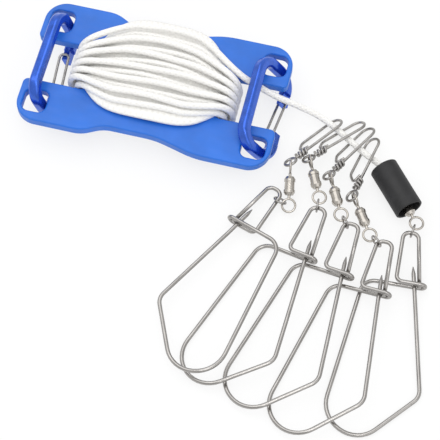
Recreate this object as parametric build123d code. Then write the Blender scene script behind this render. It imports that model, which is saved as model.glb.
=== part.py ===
from build123d import *
import math
import os

# Winder board, measured from its centre; the floor is z = 0
BOARD_LENGTH = 140.0
BOARD_WIDTH = 76.0
BOARD_THICK = 6.0
BOARD_TOP = 18.0
BOARD_CORNER = 12.0
BOARD_EDGE = 1.1
NOTCH_WIDTH = 26.5
NOTCH_DEPTH = 33.5
NOTCH_CORNER = 2.5
NOTCH_LIP = 3.0
WAIST_DEPTH = 5.8
WAIST_LEFT = (-31.5, -20.5)
WAIST_RIGHT = (8.0, 30.5)
WAIST_ROUND_LEFT = 18.0
WAIST_ROUND_RIGHT = 45.0
HOLE_LONG = 13.0
HOLE_CORNER = 4.0
HOLE_RIM = 5.25
HOLE_WEB = 6.0
HOLE_IN_LEFT = 10.0
HOLE_IN_RIGHT = 9.4

# Snap clip (carabiner) in the board's corner holes: rod, loop and wire gate
ROD = 6.0
ROD_ROUND = 1.9
LOOP_HIGH = 24.0
LOOP_CORNER = 9.0
LEAN_LEFT = 16.0
LEAN_RIGHT = 38.0
SEAT_LEFT = 2.48
SEAT_RIGHT = 0.5
TURN_LEFT = 0.0
TURN_RIGHT = 180.0
GATE_WIRE = 1.5
GATE_BEND = 1.05
GATE_GAP = 0.3
PIVOT_IN = 1.75
TIP_IN = 1.95
LUG_OVER = 2.5
NOSE_OVER = 2.5
LUG_THICK = 3.4
LUG_LONG = 7.0
PIVOT_PLAY = 0.05

# Rope wound on the board, and its free lead
ROPE = 3.5
ROPE_GAP = 0.1
LOOPS = 12
STEP_NOTCH = 2.0
STEP_SHOULDER = 3.8
STEP_MIDDLE = 4.1
MIDDLE_SHIFT = 5.5
SHOULDER_BACK = 14.5
SHOULDER_ROUND = 30.0
MIDDLE_ROUND = 60.0
ROUND_SPAN = 22.0
LOW_SHARE = 0.8
CORE_END = 2.6
CORE_SIDE = 2.0
LAYER_NOTCH = 4.3
LAYER_SHOULDER = 3.1
LAYER_MIDDLE = 1.0
TOP_NOTCH = 21.5
TOP_SHOULDER = 23.3
TOP_MIDDLE = 24.2
LOW_NOTCH = 5.6
LOW_SHOULDER = 3.6
LOW_MIDDLE = 1.8
TURN_INNER = 7.0
CORE_CORNER = 5.0
KNOT = 10.0
KNOT_LONG = 9.0
KNOT_BACK = 3.0
KNOT_SINK = 2.7
KNOT_CUT = 1.0
KNOT_HEIGHT = 6.5
EXIT = (43.0, 12.6, 22.6)
EXIT_ROUND = 12.0
LEAD = [(56.5, 10.6, 16.8), (64.0, 9.4889, 13.578), (73.0, 9.2, 10.6), (83.0, 8.8, 7.1), (91.0, 7.4, 4.9),
        (98.0, 4.2, 4.1), (104.5, 0.2, 4.0), (112.0, -4.5, 4.1), (119.5, -9.3, 4.3)]
LEAD_IN = -4.0
LEAD_SAG = 2.8
LEAD_BEND = 0.45
GAP_SAMPLE = 1.5

# Foam-black sleeve on the rope's end
SLEEVE = 15.3
SLEEVE_WALL = 1.2
SLEEVE_LONG = 28.0
SLEEVE_SHOW = 7.5
SLEEVE_TURN = -49.8

# Wire snap: a bent-wire hanger with a pointed pin, measured from the top of its triangle
WIRE = 2.2
WIRE_GAP = 0.35
TOP_RIGHT = 4.4
TOP_LEFT = -3.5
TOP_ROUND = 3.6
BAR_Y = -28.2
HOOK_LEFT = -3.8
HOOK_ROUND = 3.0
HOOK_RIGHT = 11.6
LEG_END = 8.8
SHOULDER = (-20.0, 7.5)
LOW_CORNER = (-30.5, -105.5, 16.0)
FOOT = (-10.5, -116.0, 14.5)
KINK = (16.75, -87.0, 7.5)
KINK_BACK = 4.0
PIN_TIP = (4.0, -17.8)
PIN_KNEE = 0.26
PIN_KNEE_ROUND = 60.0
PIN_POINT = 4.0
PIN_POINT_FLAT = 0.25

# Place of each snap on the floor: triangle top, turn of its crossbar and lift of its right side
SNAPS = {
    1: dict(top=(76.8, -40.6), turn=-19.4),
    2: dict(top=(102.3, -49.0), turn=-13.7, lift=9.5),
    3: dict(top=(120.9, -53.9), turn=-10.3, lift=9.5),
    4: dict(top=(139.8, -59.9), turn=-6.8, lift=10.5),
    5: dict(top=(150.8, -50.0), turn=3.1, lift=0.0),
}
FLIPPED = 1
FLIPPED_HEIGHT = 8.4
FLIPPED_ROLL = 2.9
FLIPPED_PITCH = 0.6
FLIPPED_HOLD = -4.5

# Barrel swivel
EYE = 8.2
EYE_WIRE = 1.2
EYE_TO_EYE = 21.0
SHANK = 1.6
SHANK_HEAD = 3.4
HEAD_THICK = 1.2
BARREL = 6.0
BARREL_LONG = 10.0
BARREL_END = 4.2
BARREL_CAP = 1.3
BARREL_BAND = 1.4
CAVITY = 3.8
SPIN_PLAY = 0.05
GROOVE = 0.35

# Link ring between swivel and snap
LINK = 7.7
LINK_WIRE = 1.1
LINK_GAP = 0.3
LINK_SLANT = -42.0

# Line clip: eye, wrapped neck, long loop round the rope
CLIP_WIRE = 1.5
CLIP_EYE = 8.0
CLIP_WIDTH = 9.0
CLIP_LEAN = 42.0
CLIP_LONG = 38.5
CLIP_RETURN = 14.0
CLIP_HOOK = 5.0
CLIP_FLAT = 0.1
WRAP_TURNS = 3
WRAP_STEP = 2.0
WRAP_START = 1.5

# Each chain: plan angle of the link's pull and of the swivel, and where its clip crosses the rope
CHAINS = {
    1: dict(pull=160.6, swivel=-79.5, crossing=5),
    2: dict(pull=-87.0, swivel=-64.5, crossing=6),
    3: dict(pull=-53.0, swivel=-63.3, crossing=7),
    4: dict(pull=-37.0, swivel=-56.6, crossing=8),
    5: dict(pull=-98.0, swivel=SLEEVE_TURN),
}
LAST_CHAIN = 5
SWIVEL_PLAN = 20.0

BOARD_MID = BOARD_TOP - BOARD_THICK / 2
NOTCH_FLOOR = BOARD_LENGTH / 2 - NOTCH_DEPTH
HOLE_WIDE = (BOARD_WIDTH - NOTCH_WIDTH) / 2 - HOLE_RIM - HOLE_WEB
HOLE_Y = NOTCH_WIDTH / 2 + HOLE_WEB + HOLE_WIDE / 2
HOLE_LEFT = HOLE_IN_LEFT - BOARD_LENGTH / 2
HOLE_RIGHT = BOARD_LENGTH / 2 - HOLE_IN_RIGHT
GATE_PIVOT = PIVOT_IN - NOTCH_WIDTH / 2
GATE_TIP = NOTCH_WIDTH / 2 - TIP_IN
LUG_END = GATE_PIVOT + LUG_OVER
NOSE_END = GATE_TIP - NOSE_OVER
SHOULDER_X = NOTCH_FLOOR - SHOULDER_BACK
ROUND_SCALE = (SHOULDER_X / ROUND_SPAN) ** 2
PITCH = WIRE + WIRE_GAP
NEAR = 0.1
NODES = {}


def tube(path, diameter):
    """Round rod swept along a path."""
    section = Plane(origin=path @ 0, z_dir=path % 0) * Circle(diameter / 2)
    return sweep(section, path=path)


def ring(centre, normal, outer, wire):
    """Closed ring of round wire."""
    return Plane(origin=centre, z_dir=normal) * Torus((outer - wire) / 2, wire / 2)


def flat(angle):
    """Level unit vector at a plan angle."""
    return Vector(math.cos(math.radians(angle)), math.sin(math.radians(angle)), 0)


def winder_board():
    """Flat board with an open notch at each end, a shallow waist and four corner holes."""
    x, y, n = BOARD_LENGTH / 2, BOARD_WIDTH / 2, NOTCH_WIDTH / 2
    waist = y - WAIST_DEPTH
    (left_top, left_low), (right_low, right_top) = WAIST_LEFT, WAIST_RIGHT
    half = [(x, n), (x, y), (right_top, y), (right_low, waist), (left_low, waist), (left_top, y),
            (-x, y), (-x, n), (-NOTCH_FLOOR, n)]
    outline = half + [(px, -py) for px, py in reversed(half)] + [(NOTCH_FLOOR, -n), (NOTCH_FLOOR, n)]
    face = make_face(Polyline(*outline, close=True))

    def corners(px, py):
        return [v for v in face.vertices() if abs(abs(v.X) - px) < NEAR and abs(abs(v.Y) - py) < NEAR]

    def bends(ends):
        return [v for v in face.vertices() if min(ends) - NEAR < v.X < max(ends) + NEAR and abs(v.Y) > n + 1]

    face = fillet(corners(x, y), BOARD_CORNER)
    face = fillet(corners(NOTCH_FLOOR, n), NOTCH_CORNER)
    face = fillet(corners(x, n), NOTCH_LIP)
    for ends, bend in ((WAIST_LEFT, WAIST_ROUND_LEFT), (WAIST_RIGHT, WAIST_ROUND_RIGHT)):
        face = fillet(bends(ends), bend)
    for hole_x in (HOLE_LEFT, HOLE_RIGHT):
        for sy in (-1, 1):
            face -= Pos(hole_x, sy * HOLE_Y) * RectangleRounded(HOLE_LONG, HOLE_WIDE, HOLE_CORNER)
    board = extrude(face, BOARD_THICK)
    ends = board.faces().filter_by(Axis.Z)
    board = fillet(ends[0].edges() + ends[1].edges(), BOARD_EDGE)
    return Pos(0, 0, BOARD_TOP - BOARD_THICK) * board


def carabiner(lean, centre, turn):
    """Rounded-bar loop through the two holes of one board end, with a sprung wire gate in its lower bar."""
    long = 2 * HOLE_Y
    loop = RectangleRounded(long, LOOP_HIGH, LOOP_CORNER).wire()
    start = loop @ 0
    section = Plane(origin=start, x_dir=(0, 0, 1), z_dir=loop % 0) * RectangleRounded(ROD, ROD, ROD_ROUND)
    body = sweep(section, path=loop)
    bar = -LOOP_HIGH / 2
    mouth = Box(NOSE_END - LUG_END, 2 * ROD, 2 * ROD)
    body -= Pos((NOSE_END + LUG_END) / 2, bar, 0) * mouth
    side_cut = (ROD - LUG_THICK) / 2
    for end, way in ((LUG_END, -1), (NOSE_END, 1)):
        for face in (-1, 1):
            body -= Pos(end + way * LUG_LONG / 2, bar, face * (LUG_THICK / 2 + side_cut)) * Box(
                LUG_LONG, 2 * ROD, 2 * side_cut)
    pivot = Vector(GATE_PIVOT, bar, 0)
    body -= Pos(*pivot) * Cylinder(GATE_WIRE / 2 + PIVOT_PLAY, 2 * ROD)
    span = LUG_THICK / 2 + GATE_GAP + GATE_WIRE / 2
    rise = bar + ROD / 2 + GATE_GAP + GATE_WIRE / 2
    points = [(GATE_PIVOT, bar, GATE_GAP), (GATE_PIVOT, bar, span), (GATE_TIP, rise, span),
              (GATE_TIP, rise, -span), (GATE_PIVOT, bar, -span), (GATE_PIVOT, bar, -GATE_GAP)]
    radii = [GATE_BEND, 2 * GATE_BEND, 2 * GATE_BEND, GATE_BEND]
    gate = tube(FilletPolyline(*points, radius=radii), GATE_WIRE)
    place = Pos(centre, 0, BOARD_MID) * Rot(0, -lean, turn) * Plane(
        origin=(0, 0, 0), x_dir=(0, 1, 0), z_dir=(1, 0, 0)).location
    return place * body, place * gate


def level(loop):
    """0 for a loop in the inner layer at the notches, 1 for one in the outer layer."""
    return loop % 2


def across(loop, step):
    """Sideways place of a loop."""
    return (loop - (LOOPS - 1) / 2) * step


def winding_points():
    """Corner points and bend radii of the outer rope layer, from its hidden end to the lead's exit."""
    end = NOTCH_FLOOR + CORE_END + ROPE / 2 + ROPE_GAP
    soft, wide = SHOULDER_ROUND * ROUND_SCALE, MIDDLE_ROUND * ROUND_SCALE
    points, radii = [], []

    def add(x, y, z, radius):
        points.append((x, y, z))
        radii.append(radius)

    add(0, across(-0.5, STEP_MIDDLE) + MIDDLE_SHIFT, LOW_MIDDLE, 0)
    add(-SHOULDER_X, across(-0.25, STEP_SHOULDER) + MIDDLE_SHIFT / 2, LOW_SHOULDER, soft)
    for i in range(LOOPS):
        out = level(i)
        far = end + LAYER_NOTCH * out
        bend = TURN_INNER + LAYER_NOTCH * out
        notch = across(i, STEP_NOTCH)
        shoulder = across(i, STEP_SHOULDER) + MIDDLE_SHIFT / 2
        middle = across(i, STEP_MIDDLE) + MIDDLE_SHIFT
        add(-far, notch, LOW_NOTCH - LAYER_NOTCH * out, bend)
        add(-far, notch, TOP_NOTCH + LAYER_NOTCH * out, bend)
        add(-SHOULDER_X, shoulder, TOP_SHOULDER + LAYER_SHOULDER * out, soft)
        add(0, middle, TOP_MIDDLE + LAYER_MIDDLE * out, wide)
        add(SHOULDER_X, shoulder, TOP_SHOULDER + LAYER_SHOULDER * out, soft)
        if i == LOOPS - 1:
            break
        add(far, notch, TOP_NOTCH + LAYER_NOTCH * out, bend)
        add(far, notch, LOW_NOTCH - LAYER_NOTCH * out, bend)
        up, down = level(i), level(i + 1)
        add(SHOULDER_X, across(i + 0.25, STEP_SHOULDER) + MIDDLE_SHIFT / 2,
            LOW_SHOULDER - LAYER_SHOULDER * up * LOW_SHARE, soft)
        add(0, across(i + 0.5, STEP_MIDDLE) + MIDDLE_SHIFT, LOW_MIDDLE - LAYER_MIDDLE / 2, wide)
        add(-SHOULDER_X, across(i + 0.75, STEP_SHOULDER) + MIDDLE_SHIFT / 2,
            LOW_SHOULDER - LAYER_SHOULDER * down * LOW_SHARE, soft)
    return points, radii


def rope():
    """Plain inner turns, the outer layer of separate turns, the free lead and the knot in the sleeve."""
    half_step = ROPE / 2 + ROPE_GAP
    end = NOTCH_FLOOR + CORE_END
    lift, drop = TOP_NOTCH - half_step, LOW_NOTCH + half_step
    profile = [(-end, lift), (-SHOULDER_X, TOP_SHOULDER - half_step), (0, TOP_MIDDLE - half_step),
               (SHOULDER_X, TOP_SHOULDER - half_step), (end, lift), (end, drop),
               (SHOULDER_X, LOW_SHOULDER + half_step), (0, LOW_MIDDLE + half_step),
               (-SHOULDER_X, LOW_SHOULDER + half_step), (-end, drop)]
    face = make_face(Polyline(*profile, close=True))
    face = fillet([v for v in face.vertices() if abs(abs(v.X) - end) < NEAR], CORE_CORNER)
    side = Plane.XZ * face
    core = extrude(side, BOARD_WIDTH / 2, both=True)
    wide = (LOOPS - 1) / 2 * STEP_MIDDLE
    mid = (LOOPS - 1) / 2 * STEP_SHOULDER
    slim = (LOOPS - 1) / 2 * STEP_NOTCH - CORE_SIDE
    shift = MIDDLE_SHIFT / 2
    plan = [(-end, slim), (-SHOULDER_X, mid + shift), (0, wide + 2 * shift), (SHOULDER_X, mid + shift),
            (end, slim), (end, -slim), (SHOULDER_X, -mid + shift), (0, -wide + 2 * shift),
            (-SHOULDER_X, -mid + shift), (-end, -slim)]
    core &= extrude(make_face(Polyline(*plan, close=True)), 2 * BOARD_TOP)
    core -= Pos(0, 0, BOARD_MID) * Box(2 * (NOTCH_FLOOR + ROPE_GAP), 2 * BOARD_WIDTH, BOARD_THICK)

    points, radii = winding_points()
    points.append(EXIT)
    radii.append(EXIT_ROUND)
    points.append(LEAD[0])
    path = FilletPolyline(*points, radius=radii[1:])
    winding = split(tube(path, ROPE), bisect_by=Plane.XY, keep=Keep.TOP)
    return core, winding, path


def report_gap(path):
    """Print the rope layer's least gap to itself, measured on points along it."""
    count = int(path.length / GAP_SAMPLE)
    dots = [path @ (i / count) for i in range(count + 1)]
    skip = int(3 * ROPE / GAP_SAMPLE)
    least = min((dots[i] - dots[j]).length for i in range(len(dots)) for j in range(i + skip, len(dots)))
    print("rope layer", round(path.length), "mm long, least gap to itself", round(least - ROPE, 2), "mm")


def snap_frame():
    """Bent-wire hanger: triangle, hook bar, turn, back bar, long side, foot and the pin's stub."""
    front = 2 * PITCH
    turn_x = HOOK_RIGHT - PITCH
    hook = FilletPolyline((LEG_END, BAR_Y - WIRE / 2, PITCH), (TOP_RIGHT, 0, front), (TOP_LEFT, 0, front),
                          (HOOK_LEFT, BAR_Y, front), (turn_x, BAR_Y, front),
                          radius=[TOP_ROUND, TOP_ROUND, HOOK_ROUND])
    turn = ThreePointArc((turn_x, BAR_Y, front), (HOOK_RIGHT, BAR_Y, PITCH), (turn_x, BAR_Y, 0))
    hinge, toward = pin_hinge()
    loop = FilletPolyline((turn_x, BAR_Y, 0), (SHOULDER[0], BAR_Y, 0), LOW_CORNER[:2] + (0,), FOOT[:2] + (0,),
                          tuple(hinge - toward * (WIRE_GAP / 2)),
                          radius=[SHOULDER[1], LOW_CORNER[2], FOOT[2]])
    return tube(Wire(hook.edges() + turn.edges() + loop.edges()), WIRE)


def pin_hinge():
    """Point where the pin's bend begins, and the wire's direction there."""
    toward = (Vector(*KINK[:2]) - Vector(*FOOT[:2])).normalized()
    return Vector(*KINK[:2]) - toward * KINK_BACK, toward


def snap_pin():
    """Pointed arm that springs behind the hook bar."""
    hinge, toward = pin_hinge()
    knee = Vector(*PIN_TIP) + (Vector(*KINK[:2]) - Vector(*PIN_TIP)) * PIN_KNEE + Vector(0, 0, PITCH)
    tip = Vector(*PIN_TIP, PITCH)
    point = tip - (tip - knee).normalized() * PIN_POINT
    path = FilletPolyline(tuple(hinge + toward * (WIRE_GAP / 2)), KINK[:2] + (0,), tuple(knee), tuple(point),
                          radius=[KINK[2], PIN_KNEE_ROUND])
    cone = Plane(origin=point, z_dir=tip - point) * Cone(
        WIRE / 2, PIN_POINT_FLAT, PIN_POINT, align=(Align.CENTER, Align.CENTER, Align.MIN))
    return tube(path, WIRE) + cone


def snap_place(k):
    """Place of a snap: level or lifted about its long side; the first lies flipped on its face."""
    at = SNAPS[k]
    if k == FLIPPED:
        return (Pos(*at["top"], FLIPPED_HEIGHT) * Rot(0, 0, at["turn"]) * Rot(FLIPPED_PITCH, 0, 0)
                * Rot(0, 180 - FLIPPED_ROLL, 0))
    side = Axis((SHOULDER[0], BAR_Y, 0), (SHOULDER[0] - LOW_CORNER[0], BAR_Y - LOW_CORNER[1], 0))
    return Pos(*at["top"], WIRE / 2) * Rot(0, 0, at["turn"]) * turned(side, -at["lift"])


def turned(axis, angle):
    """Location that turns a shape about an axis."""
    base = Plane(origin=axis.position, z_dir=axis.direction).location
    return base * Rot(0, 0, angle) * base.inverse()


def hold_point(k):
    """Point of the snap's wire that its link ring holds, and the height of that wire."""
    if k == FLIPPED:
        local = Vector(TOP_LEFT, FLIPPED_HOLD, 2 * PITCH)
    else:
        out = flat(CHAINS[k]["pull"] - SNAPS[k]["turn"] + 180)
        local = Vector(TOP_LEFT + TOP_ROUND, -TOP_ROUND, 2 * PITCH) + out * TOP_ROUND
    return snap_place(k) * Pos(*local)


def chain(k):
    """Centres and directions of one chain: wire held, link ring, both eyes, barrel and clip eye."""
    held = hold_point(k).position
    pull = flat(CHAINS[k]["pull"])
    eye_r, link_r = (EYE - EYE_WIRE) / 2, (LINK - LINK_WIRE) / 2
    link = held - pull * (link_r - LINK_WIRE / 2 - WIRE / 2 - LINK_GAP)
    low_eye = link - pull * (link_r + eye_r - LINK_WIRE / 2 - EYE_WIRE / 2 - LINK_GAP)
    way = flat(CHAINS[k]["swivel"])
    return held, pull, link, low_eye, way


def clip_place(k, top_eye, way):
    """Plane of a line clip: origin at its eye, x along its leg, y towards its return leg."""
    cross = Vector(*LEAD[CHAINS[k]["crossing"]])
    lean = math.radians(CLIP_LEAN)
    reach = (CLIP_EYE - CLIP_WIRE) / 2 + (EYE - EYE_WIRE) / 2 - CLIP_WIRE / 2 - EYE_WIRE / 2 - LINK_GAP
    eye = Vector(top_eye.X, top_eye.Y, 0) - way * reach
    height = cross.Z + CLIP_WIDTH / 2 * math.sin(lean)
    side = Vector(0, 0, 0)
    for _ in range(8):
        aim = Vector(cross.X, cross.Y, 0) - side * (CLIP_WIDTH / 2 * math.cos(lean)) - Vector(eye.X, eye.Y, 0)
        along = aim.normalized()
        side = Vector(-along.Y, along.X, 0)
        link_way = (way + Vector(0, 0, -way.dot(side) * math.tan(lean))).normalized()
        eye = Vector(top_eye.X, top_eye.Y, height + reach * link_way.Z) - link_way * reach
    leaned = side * math.cos(lean) - Vector(0, 0, math.sin(lean))
    return Plane(origin=eye, x_dir=along, z_dir=along.cross(leaned)), height + reach * link_way.Z


def line_clip():
    """Wire clip in its own plane: eye, wrapped neck, long leg, end bend, return leg and hooked free end."""
    eye_r = (CLIP_EYE - CLIP_WIRE) / 2
    bend = CLIP_WIDTH / 2
    points = [(eye_r, 0, 0), (CLIP_LONG, 0, 0), (CLIP_LONG, CLIP_WIDTH, 0), (CLIP_RETURN, CLIP_WIDTH, 0),
              (CLIP_RETURN - CLIP_HOOK, CLIP_WIDTH - CLIP_HOOK, 0), (CLIP_RETURN, CLIP_WIRE + LINK_GAP, 0)]
    loop = FilletPolyline(*points, radius=[bend - CLIP_FLAT, bend - CLIP_FLAT, bend, CLIP_WIRE])
    clip = tube(loop, CLIP_WIRE) + Torus(eye_r, CLIP_WIRE / 2)
    return clip + wrap()


def wrap():
    """Neck wrap: the wire's end wound round the leg in half turns."""
    radius = CLIP_WIRE - LINK_GAP / 3
    start = (CLIP_EYE - CLIP_WIRE) / 2 + WRAP_START
    arcs = []
    for i in range(2 * WRAP_TURNS):
        sign = 1 if i % 2 == 0 else -1
        x0 = start + i * WRAP_STEP / 2
        arcs.append(ThreePointArc((x0, 0, sign * radius), (x0 + WRAP_STEP / 4, sign * radius, 0),
                                  (x0 + WRAP_STEP / 2, 0, -sign * radius)))
    return tube(Wire(arcs), CLIP_WIRE)


def swivel_eye(turn):
    """Swivel eye on its shank along +Z from the barrel's middle: the eye's plane is turned about Z."""
    eye_r = (EYE - EYE_WIRE) / 2
    centre = EYE_TO_EYE / 2
    inside = BARREL_LONG / 2 - BARREL_CAP - SPIN_PLAY
    shank = Pos(0, 0, inside) * Cylinder(SHANK / 2, centre - eye_r - inside,
                                         align=(Align.CENTER, Align.CENTER, Align.MIN))
    head = Pos(0, 0, inside) * Cylinder(SHANK_HEAD / 2, HEAD_THICK,
                                        align=(Align.CENTER, Align.CENTER, Align.MAX))
    eye = Pos(0, 0, centre) * Rot(0, 0, turn) * Rot(90, 0, 0) * Torus(eye_r, EYE_WIRE / 2)
    return shank + head + eye


def swivel_barrel():
    """Hollow turned barrel with tapered ends, a band at each shoulder and a hole for each shank."""
    half, hole = BARREL_LONG / 2, SHANK / 2 + SPIN_PLAY
    band = BARREL_BAND
    groove = BARREL / 2 - GROOVE
    outer = [(hole, half), (BARREL_END / 2, half), (BARREL / 2, half - band), (BARREL / 2, half - 2 * band),
             (groove, half - 2 * band), (groove, -half + 2 * band), (BARREL / 2, -half + 2 * band),
             (BARREL / 2, -half + band), (BARREL_END / 2, -half), (hole, -half)]
    inner = [(hole, -half + BARREL_CAP), (CAVITY / 2, -half + BARREL_CAP), (CAVITY / 2, half - BARREL_CAP),
             (hole, half - BARREL_CAP)]
    return revolve(Plane.XZ * make_face(Polyline(*(outer + inner), close=True)), Axis.Z)


def add(name, shape):
    """Keep a node's solid under its name."""
    NODES[name] = shape


def build():
    """Make every node in place, measured from the board's centre on the floor."""
    add("winder_board", winder_board())
    for name, lean, centre, turn in (("left", LEAN_LEFT, HOLE_LEFT + SEAT_LEFT, TURN_LEFT),
                                     ("right", LEAN_RIGHT, HOLE_RIGHT + SEAT_RIGHT, TURN_RIGHT)):
        body, gate = carabiner(lean, centre, turn)
        add(name + "_carabiner_body", body)
        add(name + "_carabiner_gate", gate)
    core, winding, path = rope()
    report_gap(path)
    add("rope_core", core)
    add("rope_winding", winding)

    frame, pin, clip = snap_frame(), snap_pin(), line_clip()
    barrel, top_eye, low_eye = swivel_barrel(), swivel_eye(90), swivel_eye(0)
    for k in sorted(CHAINS):
        place = snap_place(k)
        add(f"snap_{k}_frame", place * frame)
        add(f"snap_{k}_pin", place * pin)
        held, pull, link, low, way = chain(k)
        top = low - way * SWIVEL_PLAN
        if k == LAST_CHAIN:
            top = Vector(top.X, top.Y, KNOT_HEIGHT)
        else:
            clip_plane, height = clip_place(k, top, way)
            top = Vector(top.X, top.Y, height)
            add(f"line_clip_{k}", clip_plane.location * clip)
        middle, axis = (top + low) / 2, (low - top).normalized()
        level_side = Vector(0, 0, 1).cross(axis).normalized()
        seat = Plane(origin=middle, x_dir=level_side, z_dir=axis).location
        seat_up = Plane(origin=middle, x_dir=level_side, z_dir=axis * -1).location
        add(f"swivel_{k}_barrel", seat * barrel)
        add(f"swivel_{k}_upper_eye", seat_up * top_eye)
        add(f"swivel_{k}_lower_eye", seat * low_eye)
        slant = LINK_SLANT if k == FLIPPED else 0.0
        normal = Vector(0, 0, 1).cross(pull).rotate(Axis((0, 0, 0), tuple(pull)), slant)
        add(f"link_ring_{k}", ring(link, normal, LINK, LINK_WIRE))
    sleeve_and_lead(top, axis)


def sleeve_and_lead(eye, way):
    """Sleeve over the rope's end, the free rope into it and the knot through the last swivel's eye."""
    level_way = Vector(way.X, way.Y, 0).normalized()
    low = eye + level_way * SWIVEL_PLAN
    mouth = Vector(low.X, low.Y, SLEEVE / 2) - level_way * SLEEVE_SHOW
    start = mouth - level_way * SLEEVE_LONG
    bore = SLEEVE / 2 - SLEEVE_WALL
    sleeve = Cylinder(SLEEVE / 2, SLEEVE_LONG) - Cylinder(bore, SLEEVE_LONG)
    add("end_sleeve", Plane(origin=(start + mouth) / 2, z_dir=level_way).location * sleeve)
    side = Vector(-level_way.Y, level_way.X, 0)
    eye_r = (EYE - EYE_WIRE) / 2
    spread = EYE_WIRE / 2 + ROPE / 2 + LINK_GAP
    inside = eye - level_way * (eye_r - EYE_WIRE / 2 - ROPE / 2 - LINK_GAP)
    back = inside - level_way * (spread + KNOT_BACK)
    loop = Wire([Line(back + side * spread, back + side * spread + level_way * KNOT_BACK),
                 ThreePointArc(back + side * spread + level_way * KNOT_BACK, inside,
                               back - side * spread + level_way * KNOT_BACK),
                 Line(back - side * spread + level_way * KNOT_BACK, back - side * spread)])
    knot = tube(loop, ROPE)
    bulb = Plane(origin=back - level_way * KNOT_SINK, z_dir=level_way).location * scale(
        Sphere(KNOT / 2), (1, 1, KNOT_LONG / KNOT))
    knot += bulb
    add("rope_knot", knot)
    seat = back - level_way * (KNOT_SINK + KNOT_LONG / 2 - KNOT_CUT)
    block = Pos(0, 0, -KNOT) * Box(2 * KNOT, 2 * KNOT, 2 * KNOT)
    behind = Plane(origin=seat, z_dir=level_way).location * block
    NODES["rope_knot"] = knot - behind
    points = LEAD + [tuple(start + level_way * LEAD_IN + Vector(0, 0, -LEAD_SAG)),
                     tuple(seat - level_way * ROPE), tuple(seat)]
    runs = [(Vector(*b) - Vector(*a)).length for a, b in zip(points[:-1], points[1:])]
    radii = []
    for a, b, c, r0, r1 in zip(points[:-2], points[1:-1], points[2:], runs[:-1], runs[1:]):
        turn = (Vector(*b) - Vector(*a)).get_angle(Vector(*c) - Vector(*b))
        radii.append(LEAD_BEND * min(r0, r1) / math.tan(math.radians(turn) / 2))
    path = FilletPolyline(*points, radius=radii)
    lead = tube(path, ROPE)
    print("lead", round(path.length), "mm, bend radii", [round(r) for r in radii])
    plain = path.length * math.pi * ROPE ** 2 / 4
    print("lead volume over section times length", round(lead.volume / plain, 3))
    add("rope_lead", lead)


def write():
    """Move the object so that its origin is under the middle of its box, and write each node."""
    rigid = [shape.bounding_box() for name, shape in NODES.items() if not name.startswith("rope_")]
    low = [min(getattr(box.min, axis) for box in rigid) for axis in "XYZ"]
    high = [max(getattr(box.max, axis) for box in rigid) for axis in "XYZ"]
    shift = Pos(-(low[0] + high[0]) / 2, -(low[1] + high[1]) / 2, -low[2])
    os.makedirs("parts", exist_ok=True)
    for name, shape in NODES.items():
        export_step(shift * shape, f"parts/{name}.step")
    print("origin shift", tuple(shift.position), "size", [round(b - a, 2) for a, b in zip(low, high)])


if __name__ == "__main__":
    build()
    write()
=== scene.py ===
"""Fish stringer: rope, wires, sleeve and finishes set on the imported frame."""
import math
from functools import partial

import bmesh
import bpy
from mathutils import Matrix, Vector


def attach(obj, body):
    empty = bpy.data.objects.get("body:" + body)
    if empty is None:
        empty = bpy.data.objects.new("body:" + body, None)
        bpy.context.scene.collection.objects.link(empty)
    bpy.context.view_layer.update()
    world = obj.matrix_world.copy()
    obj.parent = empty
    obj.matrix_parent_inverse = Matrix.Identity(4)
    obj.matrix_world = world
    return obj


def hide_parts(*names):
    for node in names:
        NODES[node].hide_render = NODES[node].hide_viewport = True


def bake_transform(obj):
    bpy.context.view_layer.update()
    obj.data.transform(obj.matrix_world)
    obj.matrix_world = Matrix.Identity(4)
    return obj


bl_info = {
    "name": "Fish stringer",
    "version": (1, 0, 0),
    "blender": (4, 5, 0),
    "location": "View3D > Sidebar > Stringer",
    "description": "Builds the rope, wire snaps, sleeve and finishes of a fish stringer",
    "category": "Object",
}

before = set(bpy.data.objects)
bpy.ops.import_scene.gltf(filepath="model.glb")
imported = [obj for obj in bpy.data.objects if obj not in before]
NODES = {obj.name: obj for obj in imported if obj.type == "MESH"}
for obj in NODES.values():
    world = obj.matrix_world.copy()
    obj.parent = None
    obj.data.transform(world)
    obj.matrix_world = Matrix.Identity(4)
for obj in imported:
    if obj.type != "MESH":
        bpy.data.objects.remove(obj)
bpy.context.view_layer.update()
MM = 0.001

# Board centre in the row frame, in mm
SHIFT = Vector((-51.3253, 66.5831, 0.0))

# Rope route on the board, in mm from the board's centre
NOTCH_FLOOR = 36.5
LOOPS = 12
STEP_NOTCH, STEP_SHOULDER, STEP_MIDDLE = 2.0, 4.1, 4.3
MIDDLE_SHIFT, SHIFT_DROP = 5.5, 0.25
SHOULDER_X = 22.0
QUARTER_X = SHOULDER_X / 2
ROPE_SEAT = 4.45
LAYER_NOTCH, LAYER_SHOULDER, LAYER_MIDDLE = 4.3, 3.1, 2.4
TOP_NOTCH, TOP_SHOULDER, TOP_MIDDLE = 21.5, 23.3, 24.2
LOW_NOTCH, LOW_SHOULDER, LOW_MIDDLE = 6.15, 4.35, 1.9
LOW_LAYER_SHARE = 0.8
LOOSE_SIDE, LOOSE_UP = 0.6, 0.15
INNER_SINK, INNER_STEP = 3.2, 1.55
INNER_CORNER, INNER_RISE = 37.4, 1.4
OVER, UNDER = 1, -1

# Waves of the loose upper turns, in radians per turn and per mm along the board
SIDE_WAVE = (2.3, 0.11)
UP_WAVE = (1.7, -0.09)

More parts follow.
